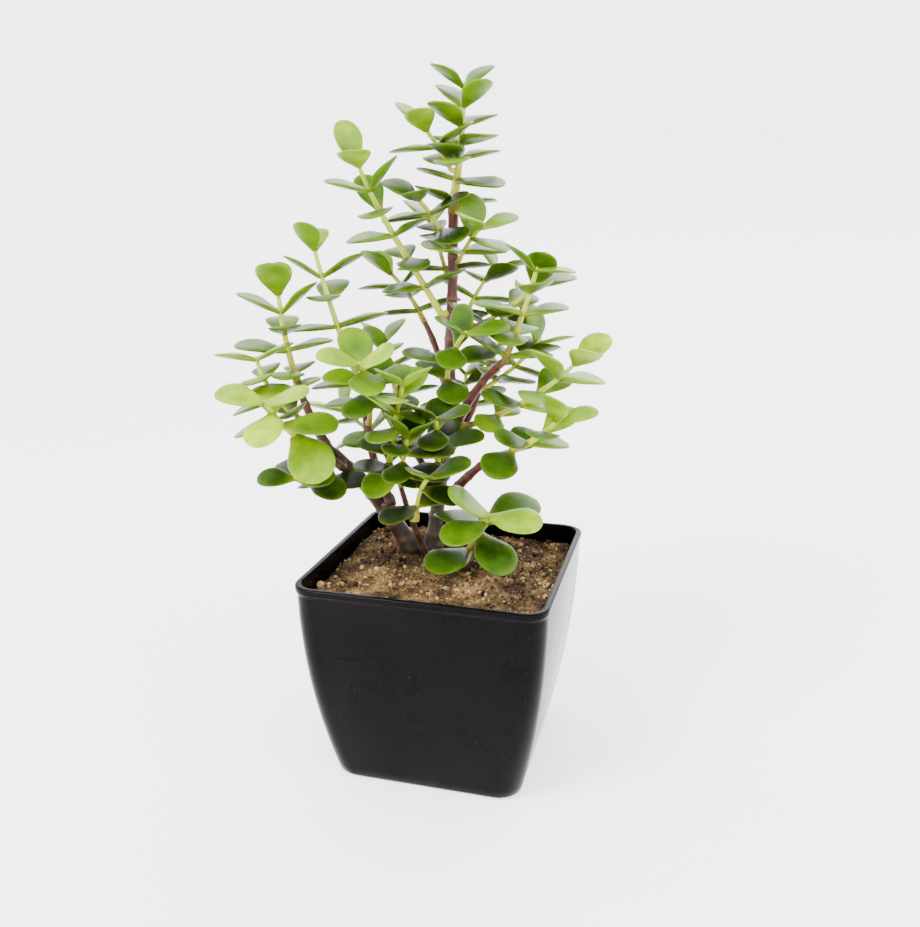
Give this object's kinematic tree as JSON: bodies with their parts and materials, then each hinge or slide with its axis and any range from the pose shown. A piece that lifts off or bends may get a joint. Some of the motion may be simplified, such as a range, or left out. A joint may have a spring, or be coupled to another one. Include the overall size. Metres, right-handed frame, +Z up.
{
  "type": "potted jade plant",
  "caption": "Small bushy jade plant with fleshy spoon-shaped leaves in opposite pairs, in a glossy black square tapered plastic pot of soil.",
  "frame": {"origin": "middle of the pot's flat base, on the surface it stands on", "axes": "+Z up; -Y towards the viewer, square to the pot's front face; +X to the viewer's right"},
  "size_m": [0.147, 0.1465, 0.2806],
  "materials": {
    "pot_plastic": "glossy",
    "soil": "rough",
    "bark": "satin",
    "leaf": "satin"
  },
  "bodies": {
    "root": {"pot": "pot_plastic", "soil": "soil", "trunk": "bark", "branch_left": "bark", "branch_left_outer": "bark", "branch_left_middle": "bark", "branch_front_left": "bark", "branch_right": "bark", "branch_right_low": "bark", "branch_back": "bark", "branch_back_right": "bark", "branch_back_left": "bark", "stem_middle": "bark", "shoot_crown": "leaf", "shoot_crown_front": "leaf", "shoot_crown_left": "leaf", "shoot_upper_left": "leaf", "shoot_upper_right": "leaf", "shoot_thin_right": "leaf", "shoot_right": "leaf", "shoot_far_right": "leaf", "shoot_right_low": "leaf", "shoot_trunk_front": "leaf", "shoot_trunk_low": "leaf", "shoot_back": "leaf", "shoot_outer": "leaf", "shoot_leftmost": "leaf", "shoot_left_middle": "leaf", "shoot_left_front": "leaf", "shoot_bright": "leaf", "shoot_front_left": "leaf", "shoot_low_left": "leaf", "shoot_middle": "leaf", "shoot_middle_front": "leaf", "shoot_front": "leaf", "shoot_back_right": "leaf", "shoot_back_left": "leaf", "shoot_back_low": "leaf", "shoot_back_upper": "leaf", "shoot_back_crown": "leaf", "shoot_side_left": "leaf", "shoot_side_right": "leaf"}
  },
  "joints": []
}
